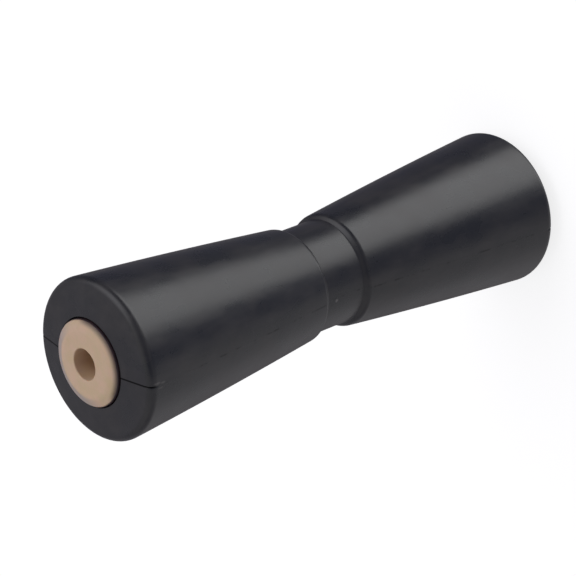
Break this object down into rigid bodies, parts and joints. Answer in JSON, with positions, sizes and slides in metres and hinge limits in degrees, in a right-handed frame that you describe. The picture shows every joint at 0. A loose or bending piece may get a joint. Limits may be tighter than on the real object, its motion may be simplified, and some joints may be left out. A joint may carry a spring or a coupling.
{
  "type": "boat trailer roller",
  "caption": "Waisted rubber keel roller for a boat trailer, like two cones nose to nose on a straight neck, with a flanged nylon bush and through bore for a spindle.",
  "frame": {"origin": "centre of the lower bush's outer face, on the roller's axis, where the roller stands on end", "axes": "+Z along the roller's axis, from the lower bush to the upper bush; +X lies in the mould's parting plane; +Y is square to it"},
  "size_m": [0.0884, 0.0884, 0.3126],
  "materials": {
    "rubber": "satin moulded black rubber",
    "nylon": "natural cream nylon, matt"
  },
  "bodies": {
    "root": {"roller_body": "rubber", "upper_bush": "nylon", "lower_bush": "nylon"}
  },
  "joints": []
}
